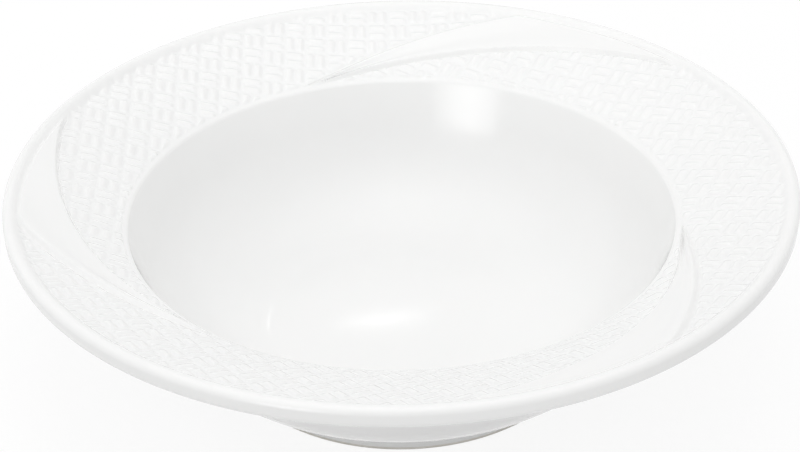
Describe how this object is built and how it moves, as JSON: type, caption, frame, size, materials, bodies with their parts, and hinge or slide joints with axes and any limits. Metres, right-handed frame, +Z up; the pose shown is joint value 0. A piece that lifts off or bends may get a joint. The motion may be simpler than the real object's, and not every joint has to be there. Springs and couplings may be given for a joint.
{
  "type": "rimmed bowl",
  "caption": "Round hotel china bowl with a deep curved well, a low foot and a wide flared rim with basket weave in relief, smooth sweeping bands and a rolled edge.",
  "frame": {"origin": "on the table, at the middle of the foot", "axes": "+Z up along the bowl's axis, through the middle of the well; the first band leaves the rolled edge 35 degrees from +X towards +Y"},
  "size_m": [0.165, 0.165, 0.0428],
  "materials": {
    "white_glaze": "high gloss clear glaze over white vitrified body",
    "bare_foot": "matte, unglazed, ground smooth"
  },
  "bodies": {
    "root": {"foot_face": "bare_foot", "foot_ring": "white_glaze", "well_floor": "white_glaze", "well_wall": "white_glaze", "shoulder": "white_glaze", "rim": "white_glaze", "rolled_edge": "white_glaze", "band_1": "white_glaze", "band_2": "white_glaze", "band_3": "white_glaze", "weave_panel_1": "white_glaze", "weave_panel_2": "white_glaze", "weave_panel_3": "white_glaze"}
  },
  "joints": []
}
